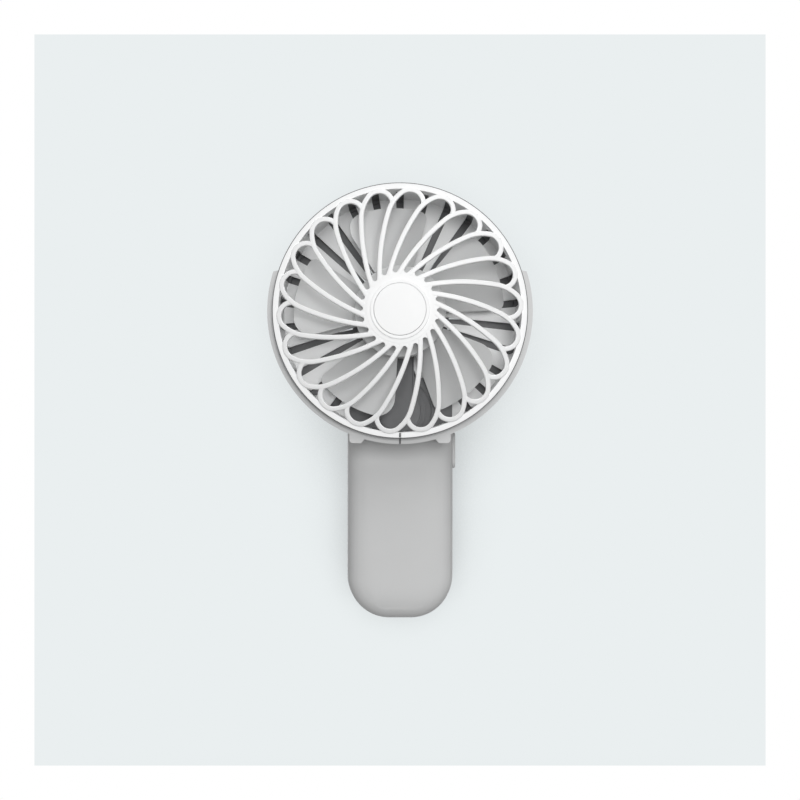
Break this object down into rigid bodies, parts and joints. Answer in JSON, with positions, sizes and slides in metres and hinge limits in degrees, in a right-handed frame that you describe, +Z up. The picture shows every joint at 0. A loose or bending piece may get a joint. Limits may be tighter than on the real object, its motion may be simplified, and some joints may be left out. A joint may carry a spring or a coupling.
{
  "type": "hand crank fan",
  "caption": "Hand-held fan with a round swirl grille, a folding handle, a side power button and a fold-out crank in the back of the handle.",
  "frame": {"origin": "centre of the bounding box in plan, at the bottom of the handle", "axes": "+Z up the handle to the head, the air leaves towards -Y, +X to the right seen from the front"},
  "size_m": [0.1006, 0.0498, 0.1699],
  "materials": {
    "white_plastic": "satin white ABS",
    "grey_plastic": "fine matt light grey ABS",
    "charcoal_plastic": "matt charcoal ABS",
    "black_plastic": "matt black nylon",
    "gear_plastic": "natural acetal",
    "steel": "zinc plated",
    "plated_steel": "nickel plated",
    "iron": "laminated iron",
    "magnet": "sintered ferrite",
    "brass": "turned",
    "copper": "enamelled copper wire",
    "cell_wrap": "foil pouch",
    "board": "green solder mask"
  },
  "bodies": {
    "head": {"front_grille": "white_plastic", "hub_cap": "white_plastic", "rear_guard": "white_plastic", "rear_cover": "charcoal_plastic", "lead_cover": "charcoal_plastic", "head_cradle": "grey_plastic", "cover_screws": "steel", "motor_can": "plated_steel", "motor_bushes": "brass", "motor_magnets": "magnet", "motor_end_cap": "black_plastic", "motor_screws": "steel"},
    "impeller": {"impeller": "grey_plastic", "motor_shaft": "steel", "armature": "iron"},
    "handle": {"handle_front_shell": "grey_plastic", "handle_rear_shell": "grey_plastic", "handle_screws": "steel", "hinge_pin": "steel", "hinge_caps": "grey_plastic", "hinge_washers": "steel", "crank_bush": "brass", "idler_axle": "steel", "gear_plate": "steel", "dynamo_can": "plated_steel", "dynamo_coils": "copper", "battery": "cell_wrap", "circuit_board": "board", "tact_switch": "black_plastic", "usb_socket": "plated_steel"},
    "crank": {"crank_disc": "grey_plastic", "peg_pin": "steel", "crank_gear": "gear_plastic", "crank_screw": "steel"},
    "peg": {"crank_peg": "charcoal_plastic"},
    "idler": {"idler_gear": "gear_plastic"},
    "dynamo": {"dynamo_pinion": "brass", "dynamo_rotor": "iron"},
    "button": {"side_button": "grey_plastic"}
  },
  "joints": [
    {"name": "head_fold", "type": "hinge", "parent": "handle", "child": "head", "pos_m": [0, 0.01455, 0.0844], "axis": [-1, 0, 0], "range_deg": [0, 135]},
    {"name": "impeller_spin", "type": "hinge", "parent": "head", "child": "impeller", "pos_m": [0, 0, 0.1218], "axis": [0, 1, 0], "continuous": true},
    {"name": "crank_spin", "type": "hinge", "parent": "handle", "child": "crank", "pos_m": [0, 0.02135, 0.036], "axis": [0, 1, 0], "continuous": true},
    {"name": "peg_flip", "type": "hinge", "parent": "crank", "child": "peg", "pos_m": [0, 0.02285, 0.0485], "axis": [1, 0, 0], "range_deg": [0, 90]},
    {"name": "idler_spin", "type": "hinge", "parent": "handle", "child": "idler", "pos_m": [0.00513, 0.01435, 0.02191], "axis": [0, 1, 0], "continuous": true},
    {"name": "dynamo_spin", "type": "hinge", "parent": "handle", "child": "dynamo", "pos_m": [-0.00878, 0.01135, 0.01629], "axis": [0, 1, 0], "continuous": true},
    {"name": "button_press", "type": "slide", "parent": "handle", "child": "button", "axis": [-1, 0, 0], "range_m": [0, 0.0006], "stiffness_N_per_m": 2500}
  ],
  "couplings": [
    {"joint": "idler_spin", "follows": "crank_spin", "ratio": -4},
    {"joint": "dynamo_spin", "follows": "crank_spin", "ratio": 16}
  ]
}
